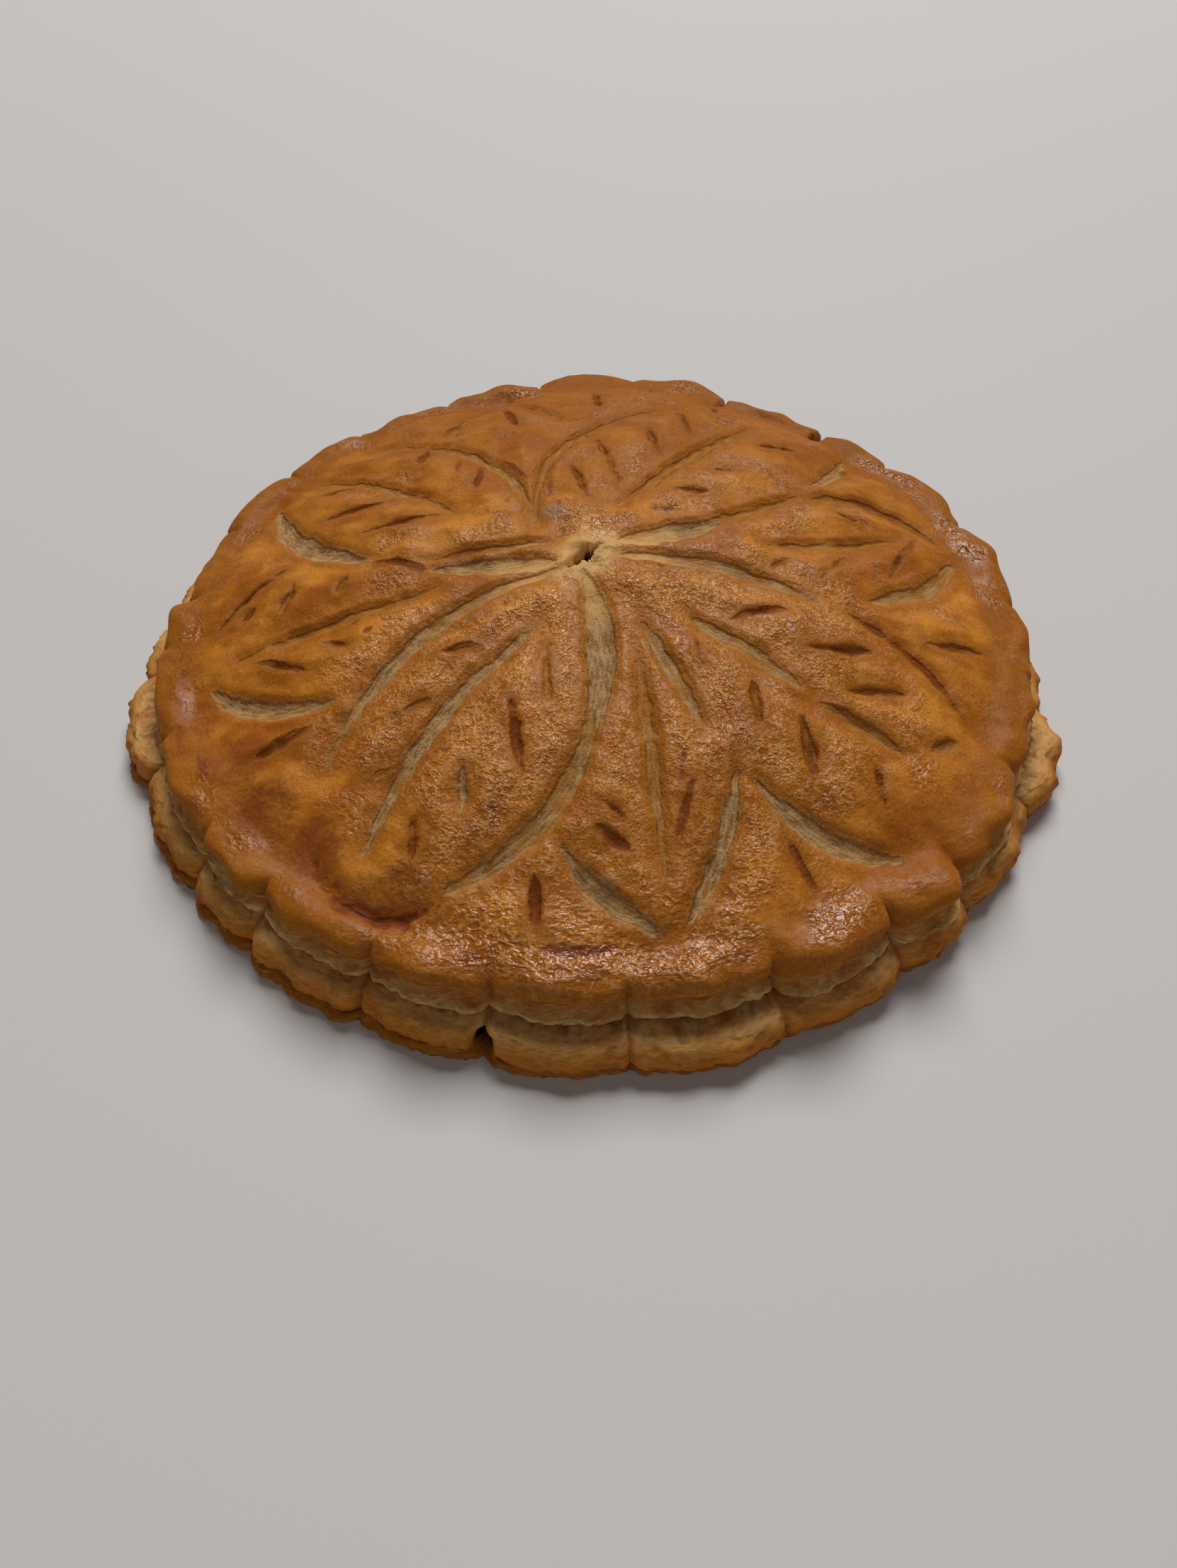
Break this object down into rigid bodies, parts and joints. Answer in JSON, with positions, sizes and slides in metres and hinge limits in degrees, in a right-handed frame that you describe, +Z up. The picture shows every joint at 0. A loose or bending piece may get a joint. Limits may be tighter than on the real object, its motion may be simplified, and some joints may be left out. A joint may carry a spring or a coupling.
{
  "type": "galette des rois",
  "caption": "Whole round puff-pastry king cake: low domed crown scored with a leaf rosette, sealed lobed rim of two sheets, flat base to rest on.",
  "frame": {"origin": "middle of the outline's box, on the flat underside", "axes": "+Z up through the vent in the crown, the front of the rosette towards -Y, +X to the right"},
  "size_m": [0.2448, 0.2462, 0.0438],
  "materials": {
    "glazed_pastry": null
  },
  "bodies": {
    "root": {"galette": "glazed_pastry"}
  },
  "joints": []
}
